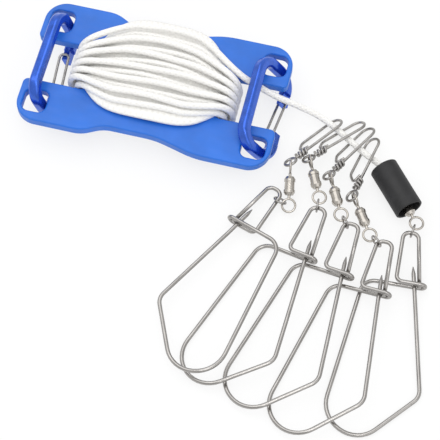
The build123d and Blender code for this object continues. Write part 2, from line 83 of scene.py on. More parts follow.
# Free lead of the rope, in mm in the row frame, from the hank to the knot in the sleeve
LEAD = [(-8.33, 79.18, 22.60), (5.17, 77.18, 16.80), (12.67, 76.07, 13.58), (21.67, 75.78, 10.60),
        (31.67, 75.38, 7.10), (39.67, 73.98, 4.90), (46.67, 70.78, 4.10), (53.17, 66.78, 4.00),
        (60.67, 62.08, 4.10), (68.17, 57.28, 4.30), (75.71, 53.36, 4.85), (77.84, 50.84, 6.50),
        (80.10, 48.17, 6.50)]

# Sleeve and the knot inside it, in mm in the row frame
SLEEVE_WAY = Vector((0.64546, -0.76380, 0.0))
SLEEVE_START = Vector((78.29, 50.31, 7.65))
KNOT_BACK = Vector((84.10, 43.43, 6.50))
KNOT_FRONT = Vector((87.74, 39.12, 6.50))
KNOT_SPREAD, KNOT_TAIL, KNOT_BULGE = 2.65, 4.6, 0.2
BIND_START, BIND_LONG, BIND_RADIUS = 1.0, 7.2, 3.3
BIND_POINTS, POINTS_PER_TURN = 29, 12
KNOT_LOOP_THIN, BIND_THIN = 0.96, 0.94
SLEEVE_WAIST = 0.06
SLEEVE_STATIONS = (0.1, 0.3, 0.5, 0.7, 0.9)
LIP_STEPS = 6

# Wire of a snap in its own frame, in mm: corner and bend radius, from the tucked end to the pin's tip
PITCH = 2.55
SNAP_WIRE = [((8.8, -29.3, PITCH), 0.0), ((4.4, 0.0, 2 * PITCH), 3.6), ((-3.5, 0.0, 2 * PITCH), 3.6),
             ((-3.8, -28.2, 2 * PITCH), 3.0), ((11.6, -28.2, 2 * PITCH), 2.54), ((11.6, -28.2, 0.0), 2.54),
             ((-20.0, -28.2, 0.0), 7.5), ((-30.5, -105.5, 0.0), 16.0), ((-10.5, -116.0, 0.0), 14.5),
             ((16.75, -87.0, 0.0), 7.5), ((7.315, -35.79, PITCH), 60.0), ((4.0, -17.8, PITCH), 0.0)]
FOOT_CORNER, KNEE_CORNER = 8, 9

# Bend where the pin springs from the frame, in mm along the foot: the pin piece starts at the first step
SNAP_HINGE = Vector((14.01, -89.914, 0.0))
HINGE_REACH = 12.0
BEND_STEPS = (2.0, 1.95, 1.5, 1.0, 0.5, 0.0)
BEND_END, SEAM = 0.15, 0.05

# Ends of the wire: length in mm and shares of the wire's radius
TUCK_STEP, TUCK_SHARE = 0.0001, 0.8
TIP_FLAT, TIP_SHARES = 0.15, (0.62, 0.22, 0.08)

# Place of each snap from the board's centre in mm, then its turn and the lift of its pin side in degrees
SNAP_PLACES = {1: ((76.8, -40.6), -19.4, 0.0), 2: ((102.3, -49.0), -13.7, 9.5),
               3: ((120.9, -53.9), -10.3, 9.5), 4: ((139.8, -59.9), -6.8, 10.5),
               5: ((150.8, -50.0), 3.1, 0.0)}
SNAP_SIDE = (Vector((-20.0, -28.2, 0.0)), Vector((10.5, 77.3, 0.0)))
SNAP_HEIGHT = 1.1

# The snap that lies on its other face: height in mm and tilts in degrees
FLIPPED_SNAP = 1
FLIPPED_HEIGHT, FLIPPED_PITCH, FLIPPED_ROLL = 8.4, 0.6, 2.9

# Sides of the round sections
ROPE_SIDES, INNER_SIDES, WIRE_SIDES, SLEEVE_SIDES = 12, 10, 14, 48

# Noise scales of the finishes, per metre for Object coordinates
EVEN = (1.0, 1.0, 1.0)
BOARD_MOTTLE, BOARD_GRAIN, BOARD_RUB = 55.0, 2600.0, 140.0
COAT_LINES, COAT_SCUFF = 900.0, 180.0
NODE_LINES, NODE_SMUDGE = 1400.0, 160.0
WIRE_LINES, WIRE_SMUDGE, WIRE_STRETCH = 6.0, 1.4, (60.0, 6.0, 1.0)
ROPE_SOIL, FIBRE_STRETCH, FIBRE_SHARE = 70.0, (2600.0, 40.0, 1.0), 0.35
SLEEVE_SKIN, SLEEVE_DUST = 1900.0, 120.0

# Braid: length of one yarn's crossing in metres and crossings round the rope
YARN_PITCH, YARNS_ROUND = 0.0032, 4.0

# Darkest and lightest share of a finish's colour
BOARD_TONES, COAT_TONES, STEEL_TONES = (0.90, 1.10), (0.82, 1.18), (0.72, 1.12)
DUST_TONE = 2.6

# Lamps: name, place and size in metres, share of the main lamp's power
LAMPS = (("key", (-0.35, 0.25, 1.0), 1.1, 1.0), ("fill", (0.7, -0.5, 0.8), 0.9, 0.4),
         ("glint", (0.2, -0.3, 1.1), 0.3, 0.3))
FLOOR_REACH, FLOOR_DROP = 3.0, 0.0002
SENSOR_WIDTH = 36.0


class StringerRope(bpy.types.PropertyGroup):
    """Sizes and colours of the rope and its sleeve."""
    diameter: bpy.props.FloatProperty(name="Rope diameter", description="Thickness of the braided rope",
                                      default=0.0035, unit="LENGTH")
    pale: bpy.props.FloatVectorProperty(name="Yarn", description="Colour on the crown of the yarns",
                                        default=(0.90, 0.892, 0.868), subtype="COLOR")
    # Painted shade: the colour between the yarns stands for the shade in the braid's creases
    painted_crease_shade: bpy.props.FloatVectorProperty(name="Between yarns", description="Colour between the yarns",
                                         default=(0.855, 0.843, 0.812), subtype="COLOR")
    sleeve_outer: bpy.props.FloatProperty(name="Sleeve diameter", description="Outer diameter of the sleeve",
                                          default=0.0153, unit="LENGTH")
    sleeve_wall: bpy.props.FloatProperty(name="Sleeve wall", description="Wall thickness of the sleeve",
                                         default=0.0012, unit="LENGTH")
    sleeve_long: bpy.props.FloatProperty(name="Sleeve length", description="Length of the sleeve",
                                         default=0.028, unit="LENGTH")
    sleeve_black: bpy.props.FloatVectorProperty(name="Sleeve black", description="Colour of the sleeve",
                                                default=(0.010, 0.010, 0.011), subtype="COLOR")


class StringerMetal(bpy.types.PropertyGroup):
    """Sizes and colours of the wire, the swivels and the blue pieces."""
    wire: bpy.props.FloatProperty(name="Snap wire", description="Thickness of the snap wire",
                                  default=0.0022, unit="LENGTH")
    point: bpy.props.FloatProperty(name="Pin point", description="Length of the pin's ground point",
                                   default=0.004, unit="LENGTH")
    steel: bpy.props.FloatVectorProperty(name="Steel", description="Colour of the drawn steel wire",
                                         default=(0.40, 0.385, 0.37), subtype="COLOR")
    nickel: bpy.props.FloatVectorProperty(name="Nickel", description="Colour of the plated swivels",
                                          default=(0.50, 0.47, 0.43), subtype="COLOR")
    board: bpy.props.FloatVectorProperty(name="Board blue", description="Colour of the winder board",
                                         default=(0.0135, 0.145, 0.62), subtype="COLOR")
    carabiner: bpy.props.FloatVectorProperty(name="Carabiner blue", description="Colour of the carabiners",
                                             default=(0.028, 0.115, 0.60), subtype="COLOR")


class StringerStage(bpy.types.PropertyGroup):
    """Camera, lamps and floor."""
    eye: bpy.props.FloatVectorProperty(name="Camera", description="Place of the camera",
                                       default=(0.08187, -0.3307, 0.7169), subtype="TRANSLATION")
    target: bpy.props.FloatVectorProperty(name="Target", description="Point that the camera looks at",
                                          default=(0.00017, 0.0030, 0.0), subtype="TRANSLATION")
    lens: bpy.props.FloatProperty(name="Lens", description="Focal length in millimetres", default=122.7)
    floor: bpy.props.FloatVectorProperty(name="Floor", description="Colour of the floor",
                                         default=(0.90, 0.90, 0.90), subtype="COLOR")
    paper: bpy.props.FloatProperty(name="Paper", description="Share of plain white in the floor as seen",
                                   default=0.78)
    sky: bpy.props.FloatProperty(name="Sky", description="Strength of the even light all round", default=0.80)
    lamp: bpy.props.FloatProperty(name="Lamp power", description="Power of the main lamp in watts",
                                  default=4.3)


def tree_of(name):
    """New material; returns it with its nodes, a link call and its shader."""
    material = bpy.data.materials.new(name)
    material.use_nodes = True
    tree = material.node_tree
    shader = tree.nodes["Principled BSDF"]
    return material, tree.nodes, tree.links.new, shader


def math_node(nodes, link, kind, *values):
    """Math node fed by sockets or plain numbers; returns its output."""
    node = nodes.new("ShaderNodeMath")
    node.operation = kind
    for socket, value in zip(node.inputs, values):
        if isinstance(value, (int, float)):
            socket.default_value = value
        else:
            link(value, socket)
    return node.outputs[0]


def noise(nodes, link, coordinates, scale, detail=3.0, stretch=EVEN):
    """Noise of a given scale on stretched coordinates; returns its value."""
    place = nodes.new("ShaderNodeMapping")
    place.inputs["Scale"].default_value = stretch
    link(coordinates, place.inputs["Vector"])
    texture = nodes.new("ShaderNodeTexNoise")
    texture.inputs["Scale"].default_value = scale
    texture.inputs["Detail"].default_value = detail
    link(place.outputs["Vector"], texture.inputs["Vector"])
    return texture.outputs["Fac"]


def spread(nodes, link, value, low, high, start=0.3, stop=0.7):
    """Map a noise value to a range."""
    node = nodes.new("ShaderNodeMapRange")
    for name, number in (("From Min", start), ("From Max", stop), ("To Min", low), ("To Max", high)):
        node.inputs[name].default_value = number
    link(value, node.inputs["Value"])
    return node.outputs["Result"]


def two_tone(nodes, link, value, dark, light):
    """Mix of two colours by a value."""
    ramp = nodes.new("ShaderNodeValToRGB")
    ramp.color_ramp.elements[0].color = (*dark, 1.0)
    ramp.color_ramp.elements[1].color = (*light, 1.0)
    link(value, ramp.inputs["Fac"])
    return ramp.outputs["Color"]


def bump(nodes, link, height, distance, strength, shader):
    """Bump of a height field on a shader."""
    node = nodes.new("ShaderNodeBump")
    node.inputs["Distance"].default_value = distance
    node.inputs["Strength"].default_value = strength
    link(height, node.inputs["Height"])
    link(node.outputs["Normal"], shader.inputs["Normal"])


def scaled(colour, factor):
    """Colour times a factor, kept below one."""
    return tuple(min(1.0, c * factor) for c in colour)


def mottled(nodes, link, value, colour, shares):
    """Colour that a noise value moves between two shares of itself."""
    dark, light = shares
    fade = spread(nodes, link, value, 0.0, 1.0)
    return two_tone(nodes, link, fade, scaled(colour, dark), scaled(colour, light))


def moulded_blue(name, colour, roughness, grain):
    """Satin moulded plastic: fine grain, faint mottling and rubbed patches."""
    material, nodes, link, shader = tree_of(name)
    spot = nodes.new("ShaderNodeTexCoord").outputs["Object"]
    mottle = noise(nodes, link, spot, BOARD_MOTTLE, 4.0)
    fine = noise(nodes, link, spot, BOARD_GRAIN, 2.0)
    rub = noise(nodes, link, spot, BOARD_RUB, 6.0, (1.0, 3.0, 1.0))
    link(mottled(nodes, link, mottle, colour, BOARD_TONES), shader.inputs["Base Color"])
    link(spread(nodes, link, rub, roughness - 0.06, roughness + 0.10), shader.inputs["Roughness"])
    bump(nodes, link, fine, 0.0002, grain, shader)
    return material


def anodised_blue(name, colour):
    """Glossy blue coat on metal with drawn lines and small scuffs."""
    material, nodes, link, shader = tree_of(name)
    spot = nodes.new("ShaderNodeTexCoord").outputs["Object"]
    lines = noise(nodes, link, spot, COAT_LINES, 3.0, (1.0, 0.04, 1.0))
    scuff = noise(nodes, link, spot, COAT_SCUFF, 6.0)
    link(mottled(nodes, link, scuff, colour, COAT_TONES), shader.inputs["Base Color"])
    link(spread(nodes, link, scuff, 0.16, 0.34), shader.inputs["Roughness"])
    shader.inputs["Metallic"].default_value = 0.8
    shader.inputs["Coat Weight"].default_value = 0.5
    shader.inputs["Coat Roughness"].default_value = 0.12
    bump(nodes, link, lines, 0.0001, 0.12, shader)
    return material


def drawn_steel(name, colour, rough, along):
    """Bright drawn metal with fine lines and smudges, which run along the wire where it has a UV map."""
    material, nodes, link, shader = tree_of(name)
    coordinates = nodes.new("ShaderNodeTexCoord").outputs["UV" if along else "Object"]
    stretch = WIRE_STRETCH if along else EVEN
    lines = noise(nodes, link, coordinates, WIRE_LINES if along else NODE_LINES, 4.0, stretch)
    smudge = noise(nodes, link, coordinates, WIRE_SMUDGE if along else NODE_SMUDGE, 5.0, stretch)
    link(mottled(nodes, link, smudge, colour, STEEL_TONES), shader.inputs["Base Color"])
    link(spread(nodes, link, lines, rough - 0.07, rough + 0.12), shader.inputs["Roughness"])
    shader.inputs["Metallic"].default_value = 1.0
    bump(nodes, link, lines, 0.00005, 0.05, shader)
    return material


def braided_rope(name, pale, painted_crease_shade):
    """White braid: two sets of crossing yarns laid on the rope's own length and angle, with painted shade
    darkening the colour between the yarns and a faint soil noise.
    """
    material, nodes, link, shader = tree_of(name)
    spot = nodes.new("ShaderNodeTexCoord")
    split = nodes.new("ShaderNodeSeparateXYZ")
    link(spot.outputs["UV"], split.inputs[0])
    along, around = split.outputs["X"], split.outputs["Y"]
    turns = math_node(nodes, link, "MULTIPLY", around, YARNS_ROUND)
    run = math_node(nodes, link, "MULTIPLY", along, 1.0 / YARN_PITCH)
    heights = []
    for kind in ("ADD", "SUBTRACT"):
        phase = math_node(nodes, link, kind, run, turns)
        wave = math_node(nodes, link, "SINE", math_node(nodes, link, "MULTIPLY", phase, math.pi))
        heights.append(math_node(nodes, link, "ABSOLUTE", wave))
    crown = math_node(nodes, link, "MAXIMUM", *heights)
    fibre = noise(nodes, link, spot.outputs["UV"], 1.0, 4.0, FIBRE_STRETCH)
    height = math_node(nodes, link, "ADD", crown, math_node(nodes, link, "MULTIPLY", fibre, FIBRE_SHARE))
    soil = noise(nodes, link, spot.outputs["Object"], ROPE_SOIL, 3.0)
    # Painted shade: the colour darkens where the yarns' crowns fall away into the creases, times a faint real
    # soil noise
    crease_shade_and_soil = math_node(nodes, link, "MULTIPLY", spread(nodes, link, crown, 0.0, 1.0, 0.35, 0.95),
                     spread(nodes, link, soil, 0.90, 1.0))
    link(two_tone(nodes, link, crease_shade_and_soil, painted_crease_shade, pale), shader.inputs["Base Color"])
    shader.inputs["Roughness"].default_value = 0.88
    shader.inputs["Sheen Weight"].default_value = 0.25
    bump(nodes, link, height, 0.00035, 0.75, shader)
    return material


def soft_black(name, colour):
    """Matt black sleeve: pebbled skin and faint dust."""
    material, nodes, link, shader = tree_of(name)
    spot = nodes.new("ShaderNodeTexCoord").outputs["Object"]
    skin = noise(nodes, link, spot, SLEEVE_SKIN, 3.0)
    dust = noise(nodes, link, spot, SLEEVE_DUST, 6.0)
    fade = spread(nodes, link, dust, 0.0, 1.0, 0.45, 0.8)
    link(two_tone(nodes, link, fade, colour, scaled(colour, DUST_TONE)), shader.inputs["Base Color"])
    link(spread(nodes, link, dust, 0.50, 0.68), shader.inputs["Roughness"])
    bump(nodes, link, skin, 0.0002, 0.25, shader)
    return material


def coat(item, material):
    """Give an object one material."""
    item.data.materials.clear()
    item.data.materials.append(material)


def coat_nodes(match, material):
    """Give every CAD node whose name passes a test one material."""
    for name, item in NODES.items():
        if match(name):
            coat(item, material)


def smooth_line(points, closed=False, resolution=10):
    """Points of a NURBS spline whose control points are given, in metres."""
    curve = bpy.data.curves.new("route", "CURVE")
    curve.dimensions = "3D"
    curve.resolution_u = resolution
    spline = curve.splines.new("NURBS")
    spline.points.add(len(points) - 1)
    for spot, place in zip(spline.points, points):
        spot.co = (*place, 1.0)
    spline.use_cyclic_u = closed
    spline.order_u = 3
    spline.use_endpoint_u = not closed
    holder = bpy.data.objects.new("route", curve)
    bpy.context.scene.collection.objects.link(holder)
    bpy.context.view_layer.update()
    mesh = bpy.data.meshes.new_from_object(holder.evaluated_get(bpy.context.evaluated_depsgraph_get()))
    line = [v.co.copy() for v in mesh.vertices]
    bpy.data.objects.remove(holder)
    bpy.data.curves.remove(curve)
    bpy.data.meshes.remove(mesh)
    return line


def bent_wire(corners, step=math.radians(9)):
    """Points of a stiff wire through corners, each rounded by its own bend radius."""
    places = [Vector(place) for place, _ in corners]
    line = [places[0]]
    for before, here, after, (_, radius) in zip(places[:-2], places[1:-1], places[2:], corners[1:-1]):
        back, ahead = (before - here).normalized(), (after - here).normalized()
        turn = math.pi - back.angle(ahead)
        reach = radius * math.tan(turn / 2)
        middle = here + (back + ahead).normalized() * (radius / math.cos(turn / 2))
        start = here + back * reach - middle
        axis = start.cross(here + ahead * reach - middle).normalized()
        count = max(2, round(turn / step))
        line += [middle + Matrix.Rotation(turn * i / count, 3, axis) @ start for i in range(count + 1)]
    return line + [places[-1]]


def tube(name, line, radii, sides, closed=False):
    """Round tube along a line, its length and angle as a UV map; radii is one radius or one per point."""
    count = len(line)
    if not isinstance(radii, (list, tuple)):
        radii = [radii] * count
    ways = []
    for i in range(count):
        ahead = line[(i + 1) % count] if closed or i + 1 < count else line[i]
        behind = line[i - 1] if closed or i else line[i]
        ways.append((ahead - behind).normalized())
    normal = ways[0].orthogonal().normalized()
    mesh = bmesh.new()
    layer = mesh.loops.layers.uv.new("UVMap")
    rings, runs, run = [], [], 0.0
    for i, (place, way, radius) in enumerate(zip(line, ways, radii)):
        if i:
            normal.rotate(ways[i - 1].rotation_difference(way))
            run += (place - line[i - 1]).length
        side = way.cross(normal)
        runs.append(run)
        rings.append([mesh.verts.new(place + (normal * math.cos(a) + side * math.sin(a)) * radius)
                      for a in (2 * math.pi * j / sides for j in range(sides))])
    spans = [(i, i + 1) for i in range(count - 1)] + ([(count - 1, 0)] if closed else [])
    for a, b in spans:
        far = runs[b] if b else run + (line[0] - line[-1]).length
        for j in range(sides):
            k = (j + 1) % sides
            face = mesh.faces.new((rings[a][j], rings[a][k], rings[b][k], rings[b][j]))
            face.smooth = True
            for loop, (u, v) in zip(face.loops, ((runs[a], j), (runs[a], j + 1), (far, j + 1), (far, j))):
                loop[layer].uv = (u, v / sides)
    if not closed:
        mesh.faces.new(rings[0][::-1])
        mesh.faces.new(rings[-1])
    bmesh.ops.recalc_face_normals(mesh, faces=mesh.faces)
    return keep(name, mesh)


def keep(name, mesh):
    """Turn a bmesh into a linked object at the origin."""
    data = bpy.data.meshes.new(name)
    mesh.to_mesh(data)
    mesh.free()
    item = bpy.data.objects.new(name, data)
    bpy.context.scene.collection.objects.link(item)
    return item


def on_board(x, y, z):
    """Point measured from the board's centre, in metres in the row frame."""
    return (Vector((x, y, z)) + SHIFT) * MM


def across(loop, step):
    """Sideways place of a turn of the rope."""
    return (loop - (LOOPS - 1) / 2) * step


def arch(loop, x, side, out):
    """Point of a turn's long run over or under the board: it arches from shoulder to shoulder."""
    t = (x / SHOULDER_X) ** 2
    y = across(loop, STEP_MIDDLE + (STEP_SHOULDER - STEP_MIDDLE) * t) + MIDDLE_SHIFT * (1 - SHIFT_DROP * t)
    if side == OVER:
        y += LOOSE_SIDE * math.sin(SIDE_WAVE[0] * loop + SIDE_WAVE[1] * x)
        layer = LAYER_MIDDLE + (LAYER_SHOULDER - LAYER_MIDDLE) * t
        z = TOP_MIDDLE + (TOP_SHOULDER - TOP_MIDDLE) * t + out * layer
        z += LOOSE_UP * (1 + math.sin(UP_WAVE[0] * loop + UP_WAVE[1] * x))
    else:
        z = LOW_MIDDLE + (LOW_SHOULDER - LOW_MIDDLE) * t - out * LOW_LAYER_SHARE * LAYER_SHOULDER * t
    return on_board(x, y, z)


def rope_route():
    """Control points of the rope: its turns round the board, then the free lead into the sleeve."""
    route = [arch(-0.5, 0.0, UNDER, 0), arch(-0.25, -SHOULDER_X, UNDER, 0)]
    for i in range(LOOPS):
        out = i % 2
        far = NOTCH_FLOOR + ROPE_SEAT + LAYER_NOTCH * out
        y = across(i, STEP_NOTCH)
        high, low = TOP_NOTCH + LAYER_NOTCH * out, LOW_NOTCH - LAYER_NOTCH * out
        route += [on_board(-far, y, low), on_board(-far, y, high)]
        route += [arch(i, x, OVER, out) for x in (-SHOULDER_X, -QUARTER_X, 0.0, QUARTER_X, SHOULDER_X)]
        if i == LOOPS - 1:
            break
        route += [on_board(far, y, high), on_board(far, y, low)]
        # Place along the board, share of the way to the next turn, layer
        steps = ((SHOULDER_X, 0.25, out), (QUARTER_X, 0.375, 0.5), (0.0, 0.5, 0.5),
                 (-QUARTER_X, 0.625, 0.5), (-SHOULDER_X, 0.75, 1 - out))
        route += [arch(i + share, x, UNDER, level) for x, share, level in steps]
    return route + [Vector(place) * MM for place in LEAD]


def turn_fan(inner):
    """Node tree that repeats one inner turn across the hank and fans the turns out towards the middle."""
    tree = bpy.data.node_groups.new("inner turns", "GeometryNodeTree")
    face = tree.interface
    face.new_socket("Geometry", in_out="INPUT", socket_type="NodeSocketGeometry")
    sizes = (("Turns", "NodeSocketInt"), ("Step", "NodeSocketFloat"), ("Fan", "NodeSocketFloat"),
             ("Half length", "NodeSocketFloat"), ("Centre X", "NodeSocketFloat"),
             ("Centre Y", "NodeSocketFloat"), ("Finish", "NodeSocketMaterial"))
    keys = {name: face.new_socket(name, in_out="INPUT", socket_type=kind).identifier for name, kind in sizes}
    face.new_socket("Geometry", in_out="OUTPUT", socket_type="NodeSocketGeometry")
    new, link = tree.nodes.new, tree.links.new
    maths = partial(math_node, tree.nodes, link)
    given, out = new("NodeGroupInput"), new("NodeGroupOutput")

    line = new("GeometryNodeMeshLine")
    offset, start = new("ShaderNodeCombineXYZ"), new("ShaderNodeCombineXYZ")
    link(given.outputs["Turns"], line.inputs["Count"])
    link(given.outputs["Step"], offset.inputs["Y"])
    half = maths("MULTIPLY", maths("SUBTRACT", given.outputs["Turns"], 1.0), 0.5)
    link(maths("MULTIPLY", maths("MULTIPLY", half, given.outputs["Step"]), -1.0), start.inputs["Y"])
    link(offset.outputs["Vector"], line.inputs["Offset"])
    link(start.outputs["Vector"], line.inputs["Start Location"])
    copies, real = new("GeometryNodeInstanceOnPoints"), new("GeometryNodeRealizeInstances")
    link(line.outputs["Mesh"], copies.inputs["Points"])
    link(given.outputs["Geometry"], copies.inputs["Instance"])
    link(copies.outputs["Instances"], real.inputs["Geometry"])

    spot = new("GeometryNodeInputPosition")
    split, join = new("ShaderNodeSeparateXYZ"), new("ShaderNodeCombineXYZ")
    link(spot.outputs["Position"], split.inputs["Vector"])
    near = maths("DIVIDE", split.outputs["X"], given.outputs["Half length"])
    near = maths("MULTIPLY", near, near)
    near = maths("SUBTRACT", 1.0, maths("MULTIPLY", near, near))
    wide = maths("ADD", 1.0, maths("MULTIPLY", near, given.outputs["Fan"]))
    sway = maths("ADD", given.outputs["Centre Y"], maths("MULTIPLY", near, MIDDLE_SHIFT * MM))
    link(maths("ADD", split.outputs["X"], given.outputs["Centre X"]), join.inputs["X"])
    link(maths("ADD", maths("MULTIPLY", split.outputs["Y"], wide), sway), join.inputs["Y"])
    link(split.outputs["Z"], join.inputs["Z"])

    move, finish = new("GeometryNodeSetPosition"), new("GeometryNodeSetMaterial")
    link(real.outputs["Geometry"], move.inputs["Geometry"])
    link(join.outputs["Vector"], move.inputs["Position"])
    link(move.outputs["Geometry"], finish.inputs["Geometry"])
    link(given.outputs["Finish"], finish.inputs["Material"])
    link(finish.outputs["Geometry"], out.inputs["Geometry"])
    modifier = inner.modifiers.new("inner turns", "NODES")
    modifier.node_group = tree
    return modifier, keys


class STRINGER_OT_rope(bpy.types.Operator):
    """Wind the rope on the board, lay its lead and tie its knot in the sleeve"""
    bl_idname = "stringer.rope"
    bl_label = "Rope"

    def execute(self, context):
        rope = context.scene.stringer_rope
        braid = braided_rope("braided rope", rope.pale, rope.painted_crease_shade)
        line = smooth_line(rope_route())
        hank = tube("rope", line, rope.diameter / 2, ROPE_SIDES)
        coat(hank, braid)

        inner = self.inner_turns(rope, braid)
        knot = self.knot(rope, braid)
        for item, nodes in ((hank, ("rope_winding", "rope_lead")), (inner, ("rope_core",)),
                            (knot, ("rope_knot",))):
            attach(item, "board")
            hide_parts(*nodes)
        return {"FINISHED"}

    def inner_turns(self, rope, braid):
        """Inner turns that show between the outer ones."""
        top_corner = TOP_NOTCH - INNER_SINK + INNER_RISE
        top_shoulder, top_middle = TOP_SHOULDER - INNER_SINK, TOP_MIDDLE - INNER_SINK
        low_corner = LOW_NOTCH + INNER_SINK - INNER_RISE
        low_shoulder, low_middle = LOW_SHOULDER + INNER_SINK, LOW_MIDDLE + INNER_SINK
        loop = [(-INNER_CORNER, top_corner), (-SHOULDER_X, top_shoulder), (0.0, top_middle),
                (SHOULDER_X, top_shoulder), (INNER_CORNER, top_corner),
                (INNER_CORNER, low_corner), (SHOULDER_X, low_shoulder), (0.0, low_middle),
                (-SHOULDER_X, low_shoulder), (-INNER_CORNER, low_corner)]
        line = smooth_line([Vector((x, 0.0, z)) * MM for x, z in loop], closed=True)
        inner = tube("rope_inner_turns", line, rope.diameter / 2, INNER_SIDES, closed=True)
        modifier, keys = turn_fan(inner)
        values = {"Turns": LOOPS + 1, "Step": INNER_STEP * MM, "Fan": STEP_MIDDLE / INNER_STEP - 1,
                  "Half length": INNER_CORNER * MM, "Centre X": SHIFT.x * MM, "Centre Y": SHIFT.y * MM,
                  "Finish": braid}
        for name, value in values.items():
            modifier[keys[name]] = value
        bpy.context.view_layer.update()
        mesh = bpy.data.meshes.new_from_object(inner.evaluated_get(bpy.context.evaluated_depsgraph_get()))
        inner.modifiers.remove(modifier)
        inner.data = mesh
        coat(inner, braid)
        return inner

    def knot(self, rope, braid):
        """Loop through the last swivel's eye, bound by turns of the rope's end."""
        side = Vector((-SLEEVE_WAY.y, SLEEVE_WAY.x, 0.0)) * KNOT_SPREAD
        tail = SLEEVE_WAY * KNOT_TAIL
        route = [KNOT_BACK + side - tail, KNOT_BACK + side, KNOT_FRONT + side,
                 KNOT_FRONT + SLEEVE_WAY * KNOT_BULGE,
                 KNOT_FRONT - side, KNOT_BACK - side, KNOT_BACK - side - tail]
        radius = rope.diameter / 2
        loop = tube("rope_knot_loop", smooth_line([p * MM for p in route]), radius * KNOT_LOOP_THIN,
                    ROPE_SIDES)
        across_way, up = side.normalized(), Vector((0.0, 0.0, 1.0))
        bind = []
        for i in range(BIND_POINTS):
            turn = 2 * math.pi * i / POINTS_PER_TURN
            bind.append(KNOT_BACK + SLEEVE_WAY * (BIND_START - BIND_LONG * i / (BIND_POINTS - 1))
                        + (across_way * math.cos(turn) + up * math.sin(turn)) * BIND_RADIUS)
        turns = tube("rope_end_knot", smooth_line([p * MM for p in bind]), radius * BIND_THIN, ROPE_SIDES)
        mesh = bmesh.new()
        mesh.from_mesh(turns.data)
        mesh.from_mesh(loop.data)
        mesh.to_mesh(turns.data)
        mesh.free()
        bpy.data.objects.remove(loop)
        coat(turns, braid)
        return turns


def snap_matrix(k):
    """Place of a snap in the row frame, in mm."""
    (x, y), turn, lift = SNAP_PLACES[k]
    turned = Matrix.Rotation(math.radians(turn), 4, "Z")
    if k == FLIPPED_SNAP:
        pitch = Matrix.Rotation(math.radians(FLIPPED_PITCH), 4, "X")
        roll = Matrix.Rotation(math.radians(180 - FLIPPED_ROLL), 4, "Y")
        return Matrix.Translation(SHIFT + Vector((x, y, FLIPPED_HEIGHT))) @ turned @ pitch @ roll
    start, way = SNAP_SIDE
    lifted = (Matrix.Translation(start) @ Matrix.Rotation(math.radians(-lift), 4, way.normalized())
              @ Matrix.Translation(-start))
    return Matrix.Translation(SHIFT + Vector((x, y, SNAP_HEIGHT))) @ turned @ lifted


class STRINGER_OT_snaps(bpy.types.Operator):
    """Bend each snap as a frame and a sprung pin that is ground to a point"""
    bl_idname = "stringer.snaps"
    bl_label = "Wire snaps"

    def execute(self, context):
        metal = context.scene.stringer_metal
        steel = drawn_steel("drawn snap wire", metal.steel, rough=0.17, along=True)
        radius, point = metal.wire / 2, metal.point / MM
        line = bent_wire(SNAP_WIRE)
        toward = (Vector(SNAP_WIRE[KNEE_CORNER][0]) - Vector(SNAP_WIRE[FOOT_CORNER][0])).normalized()
        near = next(i for i, p in enumerate(line)
                    if (p - SNAP_HINGE).dot(toward) > 0 and (p - SNAP_HINGE).length < HINGE_REACH)
        fold = [SNAP_HINGE - toward * s for s in BEND_STEPS]
        body, pin = line[:near] + [fold[0] - toward * SEAM, fold[0]], fold + line[near:]
        body.insert(0, body[0] - (body[1] - body[0]).normalized() * TUCK_STEP)
        tip, last = pin[-1], pin[-2]
        way = (tip - last).normalized()
        pin[-1:] = [tip - way * point, tip - way * (point * 0.5), tip - way * TIP_FLAT, tip]
        body_radii = [radius * TUCK_SHARE] + [radius] * (len(body) - 1)
        pin_radii = [radius] * (len(pin) - len(TIP_SHARES)) + [radius * share for share in TIP_SHARES]
        for k in SNAP_PLACES:
            place = snap_matrix(k)
            wire = tube(f"snap_{k}_wire", [place @ p * MM for p in body], body_radii, WIRE_SIDES)
            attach(wire, f"snap_{k}")
            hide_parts(f"snap_{k}_frame")
            arm = tube(f"snap_{k}_pin_wire", [place @ p * MM for p in pin], pin_radii, WIRE_SIDES)
            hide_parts(f"snap_{k}_pin")
            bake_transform(arm)
            for item in (wire, arm):
                coat(item, steel)
        return {"FINISHED"}


class STRINGER_OT_sleeve(bpy.types.Operator):
    """Turn the black sleeve with rolled lips over the knot"""
    bl_idname = "stringer.sleeve"
    bl_label = "End sleeve"

    def execute(self, context):
        rope = context.scene.stringer_rope
        outer, wall, long = rope.sleeve_outer / 2, rope.sleeve_wall, rope.sleeve_long
        lip = wall / 2
        turns = [-math.pi / 2 + math.pi * i / LIP_STEPS for i in range(LIP_STEPS + 1)]
        profile = [(lip - lip * math.cos(a), outer - lip + lip * math.sin(a)) for a in turns]
        profile += [(long * f, outer - SLEEVE_WAIST * MM * math.sin(math.pi * f)) for f in SLEEVE_STATIONS]
        profile += [(long - lip + lip * math.cos(a), outer - lip - lip * math.sin(a)) for a in turns]
        axis = SLEEVE_WAY
        side = Vector((-axis.y, axis.x, 0.0))
        up = Vector((0.0, 0.0, 1.0))
        mesh = bmesh.new()
        sides = SLEEVE_SIDES
        rings = [[mesh.verts.new(SLEEVE_START * MM + axis * s + (side * math.cos(a) + up * math.sin(a)) * r)
                  for a in (2 * math.pi * j / sides for j in range(sides))] for s, r in profile]
        for a, b in zip(rings, rings[1:] + rings[:1]):
            for j in range(sides):
                k = (j + 1) % sides
                mesh.faces.new((a[j], a[k], b[k], b[j])).smooth = True
        bmesh.ops.recalc_face_normals(mesh, faces=mesh.faces)
        sleeve = keep("sleeve", mesh)
        coat(sleeve, soft_black("black sleeve", rope.sleeve_black))
        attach(sleeve, "sleeve")
        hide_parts("end_sleeve")
        return {"FINISHED"}


